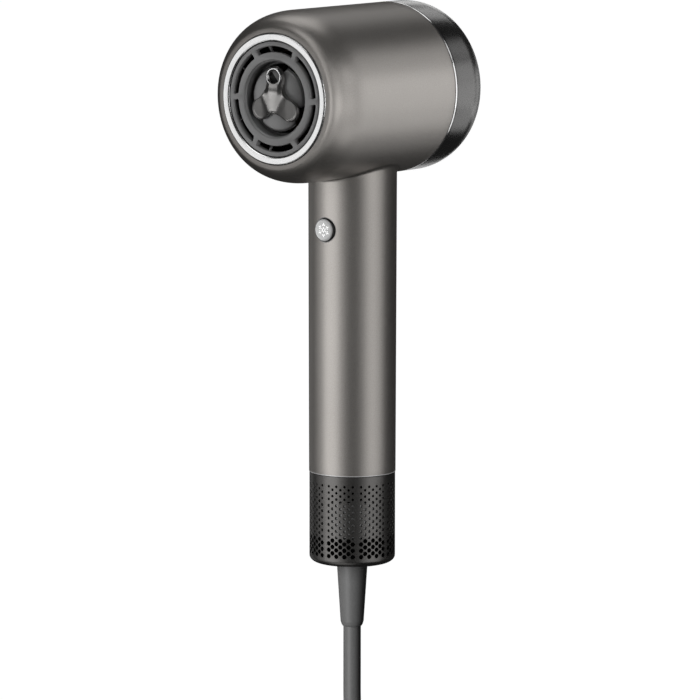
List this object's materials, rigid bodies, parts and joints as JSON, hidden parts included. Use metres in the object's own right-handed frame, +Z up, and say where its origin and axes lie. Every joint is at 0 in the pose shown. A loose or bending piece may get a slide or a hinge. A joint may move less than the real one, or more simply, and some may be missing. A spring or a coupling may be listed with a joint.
{
  "type": "hair dryer",
  "caption": "High-speed hair dryer: short round head on a straight tubular handle, with outlet grille, push buttons, slider, pull-off intake filter, cord and plug.",
  "frame": {"origin": "middle of the hand grip, on the handle's axis", "axes": "+Z up along the handle towards the head, the air leaves the head towards -Y"},
  "size_m": [0.0807, 0.1051, 0.5045],
  "materials": {
    "body_paint": "satin warm grey metallic",
    "outlet_silver": "satin turned silver",
    "trim_bright": "polished",
    "cap_gloss": "high gloss near-black",
    "outlet_grey": "matte dark grey",
    "petal_grey": "matte grey",
    "cover_dark_chrome": "polished dark chrome",
    "lens_dark": "glossy dark lens",
    "button_silver": "satin silver",
    "cage_dark": "satin gunmetal",
    "mesh_steel": "fine woven mesh",
    "cord_grey": "satin moulded grey",
    "plug_plastic": "moulded, satin",
    "plastic_black": "moulded",
    "rubber_black": "matte",
    "mica": "layered mica",
    "heater_wire": "oxidised resistance wire",
    "steel": "ground",
    "aluminium_part": "machined",
    "copper": "enamelled copper wire",
    "board": "green solder mask",
    "brass": "plated blades"
  },
  "bodies": {
    "dryer": {"head_shell": "body_paint", "rear_trim_ring": "trim_bright", "rear_cap": "cap_gloss", "outlet_trim_ring": "outlet_silver", "outlet_grille": "outlet_grey", "outlet_hub": "plastic_black", "petal_diffuser": "petal_grey", "sensor_cover": "cover_dark_chrome", "sensor_lens": "lens_dark", "front_bulkhead": "plastic_black", "heater_sleeve": "mica", "heater_frame": "mica", "heating_coil": "heater_wire", "thermal_cutoff": "steel", "ion_generator": "plastic_black", "rear_bulkhead": "plastic_black", "control_board": "board", "main_capacitor": "plastic_black", "driver_module": "plastic_black", "board_screw_1": "steel", "board_screw_2": "steel", "board_screw_3": "steel", "handle_shell": "body_paint", "air_duct": "plastic_black", "cool_shot_switch": "plastic_black", "front_key_board": "board", "temperature_switch": "plastic_black", "rear_key_board": "board", "slider_switch": "plastic_black", "status_lens": "lens_dark", "motor_sleeve": "rubber_black", "motor_shell": "aluminium_part", "stator_core": "steel", "winding_upper": "copper", "winding_lower": "copper", "bearing_upper": "steel", "bearing_lower": "steel", "intake_bell": "plastic_black", "power_board": "board", "choke_coil": "copper", "inlet_base": "plastic_black", "inner_lead": "cord_grey", "cord_guard": "cord_grey", "cord_lead": "cord_grey", "cord_hank": "cord_grey", "cord_tail": "cord_grey", "hank_tie": "rubber_black", "plug_guard": "cord_grey", "plug_body": "plug_plastic", "plug_blade_left": "brass", "plug_blade_right": "brass"},
    "cool_shot": {"cool_shot_button": "button_silver"},
    "temperature": {"temperature_button": "button_silver"},
    "power": {"power_slider": "button_silver"},
    "rotor": {"impeller": "aluminium_part", "motor_shaft": "steel", "rotor_magnet": "steel"},
    "filter": {"filter_cage": "cage_dark", "filter_mesh": "mesh_steel", "filter_top_ring": "steel"}
  },
  "joints": [
    {"name": "cool_shot_press", "type": "slide", "parent": "dryer", "child": "cool_shot", "axis": [0, 1, 0], "range_m": [0, 0.0012], "stiffness_N_per_m": 700, "springref_m": -0.001},
    {"name": "temperature_press", "type": "slide", "parent": "dryer", "child": "temperature", "axis": [0, -1, 0], "range_m": [0, 0.0012], "stiffness_N_per_m": 700, "springref_m": -0.001},
    {"name": "power_slide", "type": "slide", "parent": "dryer", "child": "power", "axis": [0, 0, 1], "range_m": [0, 0.008]},
    {"name": "rotor_spin", "type": "hinge", "parent": "dryer", "child": "rotor", "pos_m": [0, 0, -0.005], "axis": [0, 0, 1], "continuous": true},
    {"name": "filter_pull", "type": "slide", "parent": "dryer", "child": "filter", "axis": [0, 0, -1], "range_m": [0, 0.04]}
  ]
}
